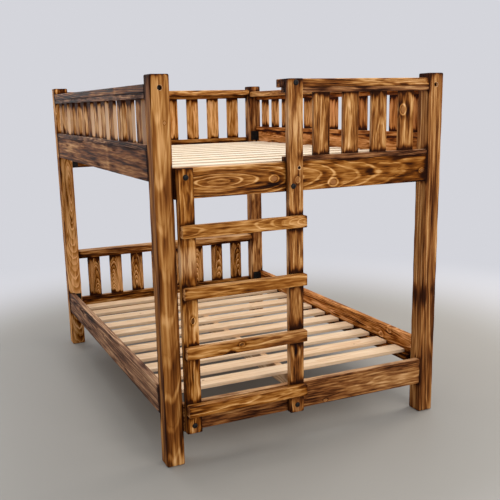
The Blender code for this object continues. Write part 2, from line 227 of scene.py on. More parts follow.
def torched_pine():
    """Pine burnt with a torch, brushed and oiled.

    A depth from black to cream is summed from pale ring lines on browner fields, streaks and
    fibres. Heat gathers at joints, edges and ends, and where heat and ragged noise together pass a
    level the wood is scorched, which cuts the depth down. Soot below zero adds to the depth and
    takes colour out, as on freshly cut wood; it also carries painted light on tops, fronts and some
    sides, and soot above zero carries painted shade on faces turned from the lamps and deep in cups.
    A ramp turns the depth into colour. Ridges follow the same lines, because brushing leaves them proud.
    """
    material, recipe, surface = new_finish("torched_pine", {"Specular IOR Level": 0.035})
    wood = timber(recipe)
    light, burn, red = recipe.parts("tone")
    # soot is joint soot plus painted shade on some faces and in cups, and painted light where below zero
    ring_show, streak_show, soot = recipe.parts("mark")
    edge_reach, tip_reach, band = recipe.parts("char")

    line = recipe.smooth(wood.share, 0.0, 0.12) * (1.0 - recipe.smooth(wood.share, 0.16, 0.34))
    trough = recipe.smooth(wood.share, 0.18, 0.34) * (1.0 - recipe.smooth(wood.share, 0.40, 0.90))
    streak = recipe.smooth(wood.streak, -0.34, 0.34) - 0.5
    patchy = recipe.clamp(0.70 + wood.blotch * 0.9)
    rings = (line * (0.05 + wood.chance * 0.24) - trough * 0.13) * patchy + (wood.chance - 0.5) * 0.13
    depth = 0.45 + light + rings * ring_show + streak * streak_show + wood.fibre * 0.42 + wood.broad * 0.30
    depth = depth + wood.rims * 0.26 - wood.shades * 0.14

    ragged = wood.blotch * 0.80 + wood.streak * 0.55 + wood.dash * 0.40
    edge = recipe.fade(wood.side, edge_reach)
    tip = recipe.fade(wood.end, tip_reach)
    heat = soot + tip * 0.50 + edge * 0.34 + burn * 0.34
    scorch = recipe.smooth(heat + ragged, 0.46, 1.00)
    scorch = recipe.clamp(scorch + wood.on_end * 0.15)
    spared = 1.0 - recipe.smooth(ragged + heat * 0.6, -0.40, 0.10)
    slant = (wood.along - band - wood.across * 0.19) / 0.030
    stripe = recipe.math("EXPONENT", slant * slant * -1.0)
    # Soot below zero: freshly cut wood, and painted light on tops, fronts and some sides
    fresh_and_painted_light = recipe.clamp(soot * -1.0)
    rub = recipe.fade(wood.side, 0.0016) * recipe.smooth(wood.streak + wood.broad, 0.10, 0.50)
    depth = (0.48 + (depth - 0.48) * 1.10 + spared * 0.15) * (1.0 - scorch * 0.86)
    depth = recipe.clamp(depth + rub * 0.30 + stripe * 0.16 + fresh_and_painted_light)

    stops = (
        (0.00, (0.008, 0.002, 0.001)), (0.12, (0.034, 0.008, 0.001)), (0.25, (0.094, 0.025, 0.002)),
        (0.38, (0.180, 0.054, 0.006)), (0.50, (0.280, 0.106, 0.018)), (0.62, (0.398, 0.178, 0.043)),
        (0.75, (0.528, 0.266, 0.088)), (0.88, (0.632, 0.348, 0.132)), (1.00, (0.730, 0.430, 0.200)),
    )
    colour = recipe.node("ShaderNodeValToRGB", {"stops": stops}, {0: depth})[0]
    colour = recipe.mix(recipe.clamp(red + wood.broad * 0.30), colour, (1.0, 0.66, 0.50, 1.0), "MULTIPLY")
    sockets = {"Saturation": 0.45, "Value": 0.92, "Color": colour}
    ashen = recipe.node("ShaderNodeHueSaturation", {}, sockets)[0]
    colour = recipe.mix(recipe.clamp(fresh_and_painted_light * 0.7 - red), colour, ashen)
    heart = recipe.mix(recipe.clamp(0.5 + wood.knot_rings * 0.22),
                       (0.200, 0.070, 0.018, 1.0), (0.400, 0.180, 0.062, 1.0))
    colour = recipe.mix(wood.knots * (1.0 - scorch * 0.7) * 0.85, colour, heart)
    recipe.feed(surface["Base Color"], colour)
    recipe.feed(surface["Roughness"], 0.54 + scorch * 0.16 - line * 0.06 + wood.fibre * 0.08)
    height = line * 0.55 + wood.fibre * 0.45 + wood.streak * 0.35 + wood.knot_rings * 0.1 - scorch * 0.3
    sockets = {"Strength": 0.55, "Distance": 0.0011, "Height": height}
    recipe.feed(surface["Normal"], recipe.node("ShaderNodeBump", {}, sockets)[0])
    return material


def bare_pine():
    """Planed pine with no finish: cream wood, faint warm rings, a few small brown knots.

    A shade from cream to brown is summed from ring lines, streaks and fibres, and a ramp turns it
    into colour. Edges and ends are duller, and narrow faces are darker with a painted shade.
    """
    material, recipe, surface = new_finish("bare_pine", {"Specular IOR Level": 0.30})
    wood = timber(recipe)
    light, grey, red = recipe.parts("tone")
    line = recipe.smooth(wood.share, 0.10, 0.75) * (1.0 - recipe.smooth(wood.share, 0.82, 1.0))
    shade = recipe.clamp(0.34 - light + line * 0.34 + wood.streak * 0.30 + wood.broad * 0.25
                         + wood.fibre * 0.16 + wood.shades * 0.10)
    stops = (
        (0.0, (0.860, 0.770, 0.640)), (0.35, (0.800, 0.690, 0.530)), (0.7, (0.710, 0.550, 0.370)),
        (1.0, (0.500, 0.310, 0.160)),
    )
    colour = recipe.node("ShaderNodeValToRGB", {"stops": stops}, {0: shade})[0]
    colour = recipe.mix(red, colour, (1.0, 0.84, 0.71, 1.0), "MULTIPLY")
    colour = recipe.mix(wood.knots * 0.8, colour, (0.27, 0.115, 0.045, 1.0))
    dull = recipe.clamp(recipe.fade(wood.side, 0.0030) * grey * 0.5 + wood.on_end * 0.22)
    colour = recipe.mix(dull, colour, (0.40, 0.29, 0.20, 1.0))
    # Narrow faces darkened to brown are a painted shade on the slats' edges
    colour = recipe.mix(wood.narrow * 0.20, colour, (0.54, 0.325, 0.175, 1.0))
    recipe.feed(surface["Base Color"], colour)
    recipe.feed(surface["Roughness"], 0.66 + wood.fibre * 0.10 - line * 0.05)
    height = line * 0.3 + wood.fibre * 0.5 + wood.streak * 0.2
    sockets = {"Strength": 0.35, "Distance": 0.0006, "Height": height}
    recipe.feed(surface["Normal"], recipe.node("ShaderNodeBump", {}, sockets)[0])
    return material


def black_steel():
    """Black coated steel: noise mottles it, and where fine noise passes a level it is rubbed brown."""
    material, recipe, surface = new_finish("black_steel", {"Specular IOR Level": 0.12})
    place = recipe.node("ShaderNodeTexCoord", {}, {})[3]
    mottle = recipe.noise(place, (90.0, 90.0, 90.0))
    rub = recipe.smooth(recipe.noise(place, (240.0, 240.0, 240.0), 3.0) + mottle, 0.30, 0.62)
    colour = recipe.mix(recipe.clamp(0.5 + mottle), (0.004, 0.004, 0.004, 1.0), (0.014, 0.012, 0.011, 1.0))
    colour = recipe.mix(rub * 0.5, colour, (0.050, 0.038, 0.030, 1.0))
    recipe.feed(surface["Base Color"], colour)
    recipe.feed(surface["Roughness"], 0.46 + mottle * 0.18 + rub * 0.12)
    recipe.feed(surface["Metallic"], rub * 0.3)
    sockets = {"Strength": 0.25, "Distance": 0.0003, "Height": mottle}
    recipe.feed(surface["Normal"], recipe.node("ShaderNodeBump", {}, sockets)[0])
    return material


TORCHED_PINE = torched_pine()
BARE_PINE = bare_pine()
BLACK_STEEL = black_steel()


# Boards

X, Y, Z = range(3)
LEFT, FRONT, TOP = (X, -1), (Y, -1), (Z, 1)
FAR_OFF = 40.0
NO_KNOT = (FAR_OFF, FAR_OFF, 0.001)
NOISE_SPREAD = 20.0
# Lattice steps along and across a board, and round its eased edges
LINE_STEP = 0.014
CROSS_STEP, CROSS_PARTS = 0.012, 5
CORNER_STEPS = 2
CORNER_TANGENTS = np.tan(np.linspace(0.0, math.pi / 4, CORNER_STEPS + 1)[1:])
# How much the edge radius wavers, and two waves along the board
WAVER_SHARE, WAVER_SLOW, WAVER_QUICK = 0.16, 17.0, 41.0
# Reach of soot from a joint, share of the edge radius that a face's soot, painted shade and painted light
# reach off the face, and gap within a joint
SOOT_FADE, FACE_FADE, TOUCH = 0.020, 0.5, 0.002
SPOT_LENGTH = 1.6
# Soot of freshly cut wood, and the black of painted shade deep in a cup
FRESH_CUT, RECESS_SHADE_BLACK = -0.60, 1.0
CUP_LIP, CUP_MARGIN, CUP_STEPS = 0.0012, 0.003, 6
# Share of a cup's depth where its rim ends and its wall begins
CUP_EDGE = 0.01


class Board:
    """One plank: its box, the way its grain runs, its eased edges and its timber's character.

    tone: lightness, burn and redness, where redness below zero is an ashen grey, and the burn of
        bare pine dulls its edges
    knots: place along and across, and radius
    pith: place across and through of the middle of the rings, and its slope along the board
    figure: ring pitch, bow of the pith line, and phase
    show: how strongly rings and streaks show
    soot, fade: how black a joint is, and how far that reaches
    char: how far edges and ends are burnt
    crown: soot at the top of an upright board, and its reach
    faces: soot on single faces by the way they turn: painted shade above zero, partly heavier char on left
    faces, and painted light below zero
    spots: place along, across and through, reach and soot of single marks
    band: place along the board of a pale stripe
    coarse, stretch: size of the noise in the grain, and its length
    step: lattice step along the grain

    Chance gives the pith and the figure where they are left out, and a little of the tone.
    """

    def __init__(self, low, high, along, ease, tone, knots=(), pith=None, figure=None,
                 show=(1.0, 0.34), soot=0.8, fade=SOOT_FADE, char=(0.005, 0.020), crown=(0.0, 1.0),
                 faces=None, spots=(), band=FAR_OFF, coarse=1.0, stretch=1.0, step=LINE_STEP):
        self.low, self.high = np.array(low, float), np.array(high, float)
        self.centre, self.half = (self.low + self.high) / 2, (self.high - self.low) / 2
        sides = [axis for axis in range(3) if axis != along]
        sides.sort(key=lambda axis: -round(self.half[axis], 4))
        self.axes = [along, *sides]
        self.ease, self.show, self.soot, self.fade = ease, show, soot, fade
        self.coarse = np.array((coarse * stretch, coarse, coarse))
        self.char, self.crown, self.faces = (*char, band), crown, faces or {}
        self.spots, self.step, self.cups = spots, step, []
        chance = dice.random(12)
        width, thickness = self.half[sides[0]], self.half[sides[1]]
        self.offset = chance[:3] * NOISE_SPREAD
        pith_side = 1.0 if chance[3] < 0.5 else -1.0
        self.pith = pith or ((chance[4] - 0.5) * width * 1.6,
                             pith_side * (thickness + 0.010 + 0.050 * chance[5]),
                             (chance[6] - 0.5) * 0.12)
        self.figure = figure or (0.0075 + 0.006 * chance[7], (chance[8] - 0.5) * 0.05, chance[9])
        self.tone = (tone[0] + (chance[10] - 0.5) * 0.08, tone[1] * (0.75 + 0.5 * chance[11]), tone[2])
        self.knots = (*knots, NO_KNOT, NO_KNOT, NO_KNOT)[:3]


def axis_lines(board, axis):
    """Lattice lines over one axis of a board: shares of its flat part, and corner tangents.

    The flat part runs from -1 to 1 in even steps with a tangent of 0. Each corner adds lines at a
    share of -1 or 1 whose tangents grow evenly in angle to 45 degrees. A cup has lines of its own.
    """
    flat_half = board.half[axis] - board.ease
    step = board.step if axis == board.axes[0] else max(CROSS_STEP, flat_half / CROSS_PARTS)
    flat = np.linspace(-1.0, 1.0, max(2, round(2 * flat_half / step)) + 1)
    for cup in board.cups:
        if axis != cup.axis:
            middle = cup.mouth[axis] - board.centre[axis]
            own = (middle + np.linspace(-cup.reach, cup.reach, CUP_STEPS + 1)) / flat_half
            clear = np.abs(flat - middle / flat_half) * flat_half > cup.reach + CUP_MARGIN
            flat = np.sort(np.concatenate([flat[clear | (np.abs(flat) == 1.0)], own]))
    ends = np.ones(CORNER_STEPS)
    return (np.concatenate([-ends, flat, ends]),
            np.concatenate([-CORNER_TANGENTS[::-1], flat * 0.0, CORNER_TANGENTS]))


def board_surface(board):
    """Points, normals and faces of a closed board with eased edges.

    Lattice lines cross on three axes and only the outer crossings are kept. Each point is its share
    of the inner box plus the edge radius along the unit vector of its three corner tangents. The
    radius wavers a little along the grain, as hand-eased edges do, and not at the ends.
    """
    lines = [axis_lines(board, axis) for axis in range(3)]
    shape = [len(shares) for shares, _ in lines]
    places = np.indices(shape)
    last = np.array(shape).reshape(3, 1, 1, 1) - 1
    outer = ((places == 0) | (places == last)).any(axis=0)
    picked = np.nonzero(outer)
    number = np.full(shape, -1)
    number[outer] = np.arange(outer.sum())
    shares = np.stack([lines[axis][0][picked[axis]] for axis in range(3)], axis=1)
    tangents = np.stack([lines[axis][1][picked[axis]] for axis in range(3)], axis=1)
    normals = tangents / np.linalg.norm(tangents, axis=1, keepdims=True)
    run = shares[:, board.axes[0]]
    along = run * board.half[board.axes[0]]
    waver = np.sin(along * WAVER_SLOW + board.offset[0]) + np.sin(along * WAVER_QUICK + board.offset[1])
    ease = (board.ease * (1.0 + WAVER_SHARE * waver * (1.0 - run ** 4)))[:, None]
    points = board.centre + shares * (board.half - ease) + ease * normals

    faces = []
    for axis in range(3):
        for side in (0, -1):
            grid = number.take(side, axis=axis)
            quads = np.stack([grid[:-1, :-1], grid[1:, :-1], grid[1:, 1:], grid[:-1, 1:]], axis=-1)
            flipped = (axis == Y) != (side == 0)
            kept = np.ones(quads.shape[:2], bool)
            for cup in board.cups:
                if cup.axis == axis and cup.side == (1 if side == -1 else -1):
                    points, normals, added = cut_cup(board, cup, lines, grid, kept, points, normals)
                    faces += [face[::-1] for face in added] if flipped else added
            quads = quads[kept]
            faces += (quads[:, ::-1] if flipped else quads).tolist()
    return points, normals, faces, outer.sum()


def cut_cup(board, cup, lines, grid, kept, points, normals):
    """A round cup sunk in one face, joined to a square block that is left out of the lattice.

    The block's border is the first ring. The next rings lie at the same angles about the middle: a
    circle on the face, a rounded lip, the wall's foot, and a single point in the middle of the floor.
    """
    first, second = (axis for axis in range(3) if axis != cup.axis)
    span = []
    for axis in (first, second):
        at = lines[axis][0] * (board.half[axis] - board.ease) + board.centre[axis]
        at = np.where(lines[axis][1] == 0.0, at, FAR_OFF)
        span += [int(np.abs(at - cup.mouth[axis] + reach).argmin()) for reach in (cup.reach, -cup.reach)]
    low, high, near, far = span
    kept[low:high, near:far] = False
    border = np.concatenate([grid[low:high, near], grid[high, near:far],
                             grid[high:low:-1, far], grid[low, far:near:-1]])
    spokes = points[border] - cup.mouth
    angle = np.arctan2(spokes[:, second], spokes[:, first])
    spoke = np.zeros((len(border), 3))
    spoke[:, first], spoke[:, second] = np.cos(angle), np.sin(angle)
    out = np.zeros(3)
    out[cup.axis] = cup.side
    # Radius, depth, and lean of the normals towards the middle
    rings = ((cup.radius + CUP_LIP, 0.0, 0.0), (cup.radius, CUP_LIP, 0.7), (cup.radius, cup.depth, 0.7))
    faces, previous = [], border
    for radius, depth, lean in rings:
        ring = len(points) + np.arange(len(border))
        points = np.concatenate([points, cup.mouth + spoke * radius - out * depth])
        normals = np.concatenate([normals, out * (1.0 - lean) - spoke * lean])
        faces += np.stack([previous, np.roll(previous, -1), np.roll(ring, -1), ring], axis=-1).tolist()
        previous = ring
    points = np.concatenate([points, [cup.mouth - out * cup.depth]])
    normals = np.concatenate([normals, [out]])
    middle = np.full(len(border), len(points) - 1)
    faces += np.stack([previous, np.roll(previous, -1), middle], axis=-1).tolist()
    return points, normals, faces


def soot_and_painted_light(board, points, others):
    """How black the torch left each point, with painted shade and painted light added: most against a board
    that touches, fading off with distance.

    A crown adds its share at the top of an upright board, and a face its own amount, which fades off
    round the edge: painted shade above zero and painted light below zero, by the way the face turns.
    Each spot adds a bell curve about its place, longer along the grain. An amount below zero leaves
    paler wood, and on faces and the foot cap's spot it is painted light.
    """
    soot = np.zeros(len(points))
    for other in others:
        touching = (other.low < board.high + TOUCH) & (other.high > board.low - TOUCH)
        if other is not board and touching.all():
            gap = np.maximum(np.maximum(other.low - points, points - other.high), 0.0)
            soot = np.maximum(soot, np.exp(-np.linalg.norm(gap, axis=1) / board.fade))
    crown, reach = board.crown
    soot = soot * board.soot + crown * np.exp((points[:, Z] - board.high[Z]) / reach)
    for (axis, side), amount in board.faces.items():
        face = board.low[axis] if side < 0 else board.high[axis]
        soot = soot + amount * np.exp(-np.abs(points[:, axis] - face) / (board.ease * FACE_FADE))
    grain = (points - board.centre)[:, board.axes]
    for place, reach, amount in board.spots:
        gap = (grain - place) / (reach * SPOT_LENGTH, reach, reach)
        soot = soot + amount * np.exp(-(gap ** 2).sum(axis=1))
    return soot


def in_scene(name, data):
    """A new object with this data, linked to the scene."""
    made = bpy.data.objects.new(name, data)
    bpy.context.scene.collection.objects.link(made)
    return made


def new_piece(name, points, faces, material, normals=None):
    """A mesh object at the origin that rides on the bed and takes a finish."""
    mesh = bpy.data.meshes.new(name)
    mesh.from_pydata(points, [], faces)
    mesh.materials.append(material)
    mesh.shade_smooth()
    if normals is not None:
        mesh.normals_split_custom_set_from_vertices(normals)
    piece = in_scene(name, mesh)
    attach(piece, "root")
    return piece


def renumbered(faces, number):
    """Faces whose point numbers are looked up in an array of new numbers."""
    corners = number[np.concatenate(faces)]
    ends = np.cumsum([len(face) for face in faces])[:-1]
    return [face.tolist() for face in np.split(corners, ends)]


def only_used(points, normals, faces, lattice_points):
    """The points that faces use, with the faces renumbered, and which points a cup added to the lattice."""
    used = np.unique(np.concatenate(faces))
    number = np.full(len(points), -1)
    number[used] = np.arange(len(used))
    return points[used], normals[used], renumbered(faces, number), used >= lattice_points


def boards_piece(node, boards, material, torched):
    """One piece made of boards in place of a CAD node, with the attributes its finish reads.

    A cup's wall takes soot from its own amount at the lip to black at the foot, by depth; the black deep in
    the cup is painted shade.
    """
    names = ("grain", "place", "half", "pith", "figure", "tone", "mark", "char",
             "knot_a", "knot_b", "knot_c")
    all_points, all_normals, all_faces = [], [], []
    values = {name: [] for name in names}
    count = 0
    for board in boards:
        points, normals, faces, lattice_points = board_surface(board)
        if board.cups:
            points, normals, faces, in_cup = only_used(points, normals, faces, lattice_points)
        grain = (points - board.centre)[:, board.axes]
        soot = soot_and_painted_light(board, points, torched)
        for cup in board.cups:
            sunk = np.abs(points[:, cup.axis] - cup.mouth[cup.axis]) / cup.depth
            wall = in_cup & (sunk > CUP_EDGE)
            # Blacker with depth down the wall: painted shade in the cup
            soot[wall] = cup.wall + (RECESS_SHADE_BLACK - cup.wall) * sunk[wall]
            soot[in_cup & ~wall] += cup.rim
        place = grain / board.coarse + board.offset
        mark = np.column_stack([np.broadcast_to(board.show, (len(points), 2)), soot])
        rows = (grain, place, board.half[board.axes], board.pith, board.figure, board.tone, mark,
                board.char, *board.knots)
        for name, row in zip(names, rows):
            values[name].append(np.broadcast_to(np.asarray(row, float), points.shape))
        all_points.append(points)
        all_normals.append(normals)
        all_faces += renumbered(faces, np.arange(len(points)) + count)
        count += len(points)
    piece = new_piece(f"{node}_board", np.concatenate(all_points), all_faces, material,
                      np.concatenate(all_normals))
    for name in names:
        layer = piece.data.attributes.new(name, "FLOAT_VECTOR", "POINT")
        layer.data.foreach_set("vector", np.concatenate(values[name]).ravel())
    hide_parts(node)


# The bed's boards

POST_EASE, BOARD_EASE, SLAT_EASE = 0.007, 0.0045, 0.0025
STRIP_HEIGHT, STRIP_LAP = 0.024, 0.002
GUARD_SLAT_WIDTH, GUARD_SLAT_THICKNESS, GUARD_SLAT_GAP = 0.089, 0.019, 0.075
LEDGER_HEIGHT, LEDGER_WIDTH, LEDGER_RAISE, LEDGER_SETBACK = 0.036, 0.038, 0.002, 0.050
BED_SLATS, BED_SLAT_STEP = 11, 0.03
COUNTERBORE_RADIUS, COUNTERBORE_DEPTH, COUNTERBORE_REACH = 0.0120, 0.022, 0.020
CAP_BOLT_DROP = 0.058
SCREW_X, SCREW_Z = -0.078, 1.397
SCREW_CUP_RADIUS, SCREW_CUP_DEPTH, SCREW_CUP_REACH = 0.0070, 0.012, 0.012


def node_box(node):
    """The low and high corners of a CAD node."""
    low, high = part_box(node)
    return np.array(low), np.array(high)


def whole(node, along, ease, **character):
    """One board that fills a node's box."""
    return Board(*node_box(node), along, ease, **character)


def sunk_cup(side, mouth, radius, depth, reach, wall, rim=0.0):
    """A round cup in a board's front or back face.

    Reach is half the square block that the cup is joined to, wall the soot at its lip, and rim the
    soot added round it.
    """
    return SimpleNamespace(axis=Y, side=side, mouth=np.array(mouth), radius=radius, depth=depth,
                           reach=reach, wall=wall, rim=rim)


def side_rail(node, inward, **character):
    """A side rail, and the ledger that lies along the foot of its inner face, short of both ends."""
    low, high = node_box(node)
    rail_low, rail_high, ledger_low, ledger_high = low.copy(), high.copy(), low.copy(), high.copy()
    if inward > 0:
        rail_high[X] = ledger_low[X] = high[X] - LEDGER_WIDTH
    else:
        rail_low[X] = ledger_high[X] = low[X] + LEDGER_WIDTH
    ledger_low[Z] = low[Z] + LEDGER_RAISE
    ledger_high[Z] = ledger_low[Z] + LEDGER_HEIGHT
    ledger_low[Y] += LEDGER_SETBACK
    ledger_high[Y] -= LEDGER_SETBACK
    return [Board(rail_low, rail_high, Y, BOARD_EASE, **character),
            Board(ledger_low, ledger_high, Y, SLAT_EASE, tone=(-0.05, 0.8, 0.25))]


def slat_starts(start, end):
    """Evenly spaced starts of as many guard slats as an opening takes, centred in it."""
    pitch = GUARD_SLAT_WIDTH + GUARD_SLAT_GAP
    count = round((end - start - GUARD_SLAT_GAP) / pitch)
    return (start + end - count * pitch + GUARD_SLAT_GAP) / 2 + pitch * np.arange(count)


def guard_panel(node, along, slats, foot_tone=(0.05, 0.65, 0.1), head_tone=(0.05, 0.65, 0.1),
                opening=None, feather=None, single_slats=None):
    """Foot and head strips with upright slats let in between them.

    A feather is the depth and slope of a pith behind each slat, and its ring pitch. The rings then run
    out along the slat as arches. Chance varies the slope, the pitch and the pith's place across.
    """
    low, high = node_box(node)
    thin = Y if along == X else X
    foot_high, head_low = high.copy(), low.copy()
    foot_high[Z], head_low[Z] = low[Z] + STRIP_HEIGHT, high[Z] - STRIP_HEIGHT
    # The foot strip's TOP amount below zero is painted light on its top
    boards = [Board(low, foot_high, along, SLAT_EASE, tone=foot_tone, soot=0.25, faces={TOP: -0.34}),
              Board(head_low, high, along, SLAT_EASE, tone=head_tone, soot=0.25)]
    middle = (low[thin] + high[thin]) / 2
    for index, start in enumerate(slat_starts(*(opening or (low[along], high[along])))):
        slat_low, slat_high = low.copy(), high.copy()
        slat_low[along], slat_high[along] = start, start + GUARD_SLAT_WIDTH
        slat_low[thin] = middle - GUARD_SLAT_THICKNESS / 2
        slat_high[thin] = middle + GUARD_SLAT_THICKNESS / 2
        slat_low[Z], slat_high[Z] = foot_high[Z] - STRIP_LAP, head_low[Z] + STRIP_LAP
        character = {"char": (0.004, 0.030), **slats}
        if feather:
            deep, slope, pitch = feather
            sway = dice.random(3)
            character["pith"] = ((sway[0] - 0.5) * 0.04, deep, slope * (0.8 + 0.4 * sway[1]))
            character["figure"] = (pitch * (0.85 + 0.3 * sway[2]), 0.0, sway[0])
        character.update((single_slats or {}).get(index, {}))
        boards.append(Board(slat_low, slat_high, Z, SLAT_EASE, **character))
    return boards


torched_nodes = {}
bare_nodes = {}
counterbores = []

# Soot on the posts' left faces is partly heavier char and partly painted shade
posts = {
    "foot_left_post": dict(
        tone=(0.085, 0.45, -0.04), show=(0.7, 0.28), stretch=2.0, char=(0.006, 0.004), crown=(0.45, 0.045),
        faces={LEFT: 0.38}, knots=((0.707, 0.014, 0.0034),),
        spots=(((-0.80, 0.040, -0.045), 0.045, 0.40), ((-0.80, 0.0, -0.045), 0.10, 0.08))),
    "foot_right_post": dict(
        tone=(-0.01, 0.92, -0.09), show=(1.2, 0.34), stretch=2.0, crown=(0.45, 0.045),
        spots=(((-0.253, -0.045, -0.010), 0.042, 0.70), ((-0.221, 0.017, -0.045), 0.020, 0.40))),
    "head_left_post": dict(
        tone=(0.22, 0.65, 0.15), show=(1.8, 0.25), faces={LEFT: 0.30},
        pith=(0.006, -0.070, 0.12), figure=(0.0062, 0.0, 0.2)),
    "head_right_post": dict(tone=(0.15, 0.95, -0.10), show=(0.5, 0.40), faces={LEFT: 0.10}),
}
for node, character in posts.items():
    character = {"char": (0.010, 0.004), "crown": (0.20, 0.045), **character}
    post = whole(node, Z, POST_EASE, coarse=1.15, soot=0.6, **character)
    side = -1 if "foot" in node else 1
    mouth = post.centre.copy()
    mouth[Y] = post.low[Y] if side < 0 else post.high[Y]
    mouth[Z] = post.high[Z] - CAP_BOLT_DROP
    bore = sunk_cup(side, mouth, COUNTERBORE_RADIUS, COUNTERBORE_DEPTH, COUNTERBORE_REACH, FRESH_CUT)
    post.cups.append(bore)
    counterbores.append(bore)
    torched_nodes[node] = ([post], "post_wood")

# TOP amounts below zero are painted light on the rails' tops
end_rails = {
    "upper_foot_rail": dict(
        tone=(-0.03, 0.6, 0.0), show=(1.4, 0.20), soot=0.5, faces={TOP: -0.40},
        pith=(-0.004, -0.098, -0.133), figure=(0.0125, 0.067, 0.3),
        knots=((0.131, -0.040, 0.017), (-0.192, -0.005, 0.015), (0.663, -0.013, 0.011)),
        spots=(((0.347, -0.004, -0.019), 0.022, 0.75), ((0.55, 0.0, 0.0), 0.16, 0.12),
               ((-0.45, 0.0, 0.0), 0.16, -0.05))),
    "lower_foot_rail": dict(
        tone=(-0.09, 0.75, -0.12), show=(0.8, 0.20), soot=0.2, faces={TOP: -0.28}, char=(0.005, 0.003),
        knots=((0.092, -0.055, 0.006),), spots=(((0.52, 0.0, 0.0), 0.13, -0.03),)),
    "upper_head_rail": dict(tone=(0.0, 0.7, 0.2)),
    "lower_head_rail": dict(tone=(0.08, 0.7, 0.1), soot=0.5, knots=((0.3, 0.02, 0.014),)),
}
for node, character in end_rails.items():
    torched_nodes[node] = ([whole(node, X, BOARD_EASE, **character)], "rail_wood")

# TOP amounts below zero are painted light on the rails' tops
side_rails = {
    # The left rails' darker, ashen tones are partly ash and partly a painted cool shade
    "upper_left_rail": dict(
        tone=(-0.09, 0.85, -0.20), show=(0.4, 0.36), soot=0.4, band=-0.322, stretch=1.7),
    "lower_left_rail": dict(tone=(-0.15, 0.9, -0.40), soot=0.5, stretch=1.7, faces={TOP: -0.14}),
    "upper_right_rail": dict(tone=(0.17, 0.6, 0.5)),
    "lower_right_rail": dict(
        tone=(0.05, 0.8, 0.45), show=(1.6, 0.3), faces={TOP: -0.08},
        knots=((-0.755, 0.052, 0.012), (-0.675, 0.005, 0.013))),
}
for node, character in side_rails.items():
    inward = 1 if "left" in node else -1
    torched_nodes[node] = (side_rail(node, inward, **character), "rail_wood")

# TOP amounts below zero are painted light on the caps' tops
caps = {
    # The left cap's darker, ashen tone is partly ash and partly a painted cool shade
    "left_guard_cap": (Y, dict(tone=(-0.17, 0.7, -0.14), band=-0.529, stretch=2.2)),
    "right_guard_cap": (Y, dict(faces={TOP: -0.10})),
    "head_guard_cap": (X, dict(faces={TOP: -0.10})),
    # The foot cap's pale spot is a painted highlight, a sheen across it
    "foot_guard_cap": (X, dict(faces={TOP: -0.10}, spots=(((0.386, 0.0, 0.0), 0.04, -0.14),))),
    "headboard_cap": (X, dict(faces={TOP: -0.18})),
}
for node, (along, character) in caps.items():
    character = {"tone": (0.04, 0.5, -0.06), **character}
    cap = whole(node, along, BOARD_EASE, soot=0.25, **character)
    torched_nodes[node] = ([cap], "cap_wood")

# LEFT above zero is painted shade on outer faces over heavier char; FRONT, TOP and the foot guard's LEFT
# below zero are painted light
panels = {
    # The left guard's ashen tones are partly ash and partly a painted cool shade
    "left_guard_panel": dict(
        along=Y, foot_tone=(-0.13, 0.6, -0.35), head_tone=(-0.18, 0.6, -0.35),
        slats=dict(tone=(0.22, 1.0, -0.12), soot=0.42, char=(0.004, 0.012), crown=(0.55, 0.040),
                   faces={LEFT: 0.10, FRONT: -0.08}),
        single_slats={index: dict(faces={LEFT: left, FRONT: front}) for index, left, front in (
            (0, 0.06, -0.85), (1, 0.13, -0.52), (3, 0.13, -0.46), (4, 0.13, -0.72),
            (5, 0.13, -0.46), (6, 0.26, -0.52), (10, 0.0, -0.52))}),
    "right_guard_panel": dict(
        along=Y, foot_tone=(0.08, 0.6, 0.6), head_tone=(0.06, 0.6, 0.6),
        slats=dict(tone=(0.18, 0.6, 0.60), soot=0.75, faces={FRONT: -0.22}),
        single_slats={index: dict(tone=(0.20, 0.75, 0.20)) for index in range(6, 12)}),
    "head_guard_panel": dict(
        along=X, slats=dict(tone=(0.26, 0.7, 0.15), soot=0.6),
        single_slats={4: dict(tone=(0.19, 0.7, 0.20)), 6: dict(tone=(0.37, 0.6, 0.12)),
                      7: dict(tone=(0.33, 0.7, 0.15))}),
    "headboard_panel": dict(
        along=X, foot_tone=(-0.12, 0.65, 0.1), head_tone=(-0.04, 0.65, 0.1),
        slats=dict(tone=(0.18, 0.7, 0.05), soot=0.6, show=(2.6, 0.2)), feather=(0.030, 0.105, 0.0042),
        single_slats={7: dict(tone=(0.05, 0.8, 0.05))}),
    "foot_guard_panel": dict(
        along=X, foot_tone=(-0.14, 0.65, -0.20), head_tone=(-0.02, 0.65, -0.20),
        slats=dict(tone=(0.06, 0.7, -0.06), soot=0.5, faces={LEFT: -0.18}),
        opening=(node_box("ladder_right_upright")[1][X], node_box("foot_right_post")[0][X]),
        single_slats={3: dict(knots=((0.056, -0.022, 0.016),), faces={})}),
}
for node, panel in panels.items():
    torched_nodes[node] = (guard_panel(node, **panel), "guard_wood")

uprights = {
    "left": dict(
        tone=(0.03, 0.75, 0.0), crown=(0.16, 0.12), knots=((-0.071, 0.009, 0.009),),
        spots=(((0.20, 0.0, -0.019), 0.075, -0.30), ((-0.071, 0.015, -0.019), 0.04, -0.12),
               ((-0.40, -0.020, -0.019), 0.05, 0.30), ((-0.071, 0.009, -0.019), 0.008, 2.4),
               ((-0.615, 0.0, -0.019), 0.028, -0.35))),
    "right": dict(
        tone=(0.04, 0.75, -0.06), knots=((0.354, 0.008, 0.009),),
        spots=(((0.68, 0.0, 0.0), 0.16, -0.08), ((0.46, 0.017, -0.019), 0.022, 0.48),
               ((-0.805, 0.0, -0.019), 0.028, -0.35), ((0.354, 0.012, -0.019), 0.030, -0.15))),
}
for side, character in uprights.items():
    node = f"ladder_{side}_upright"
    # LEFT below zero is painted light on the uprights' left faces
    upright = whole(node, Z, BOARD_EASE, soot=0.9, fade=0.024, faces={LEFT: -0.20}, **character)
    torched_nodes[node] = ([upright], "ladder_wood")
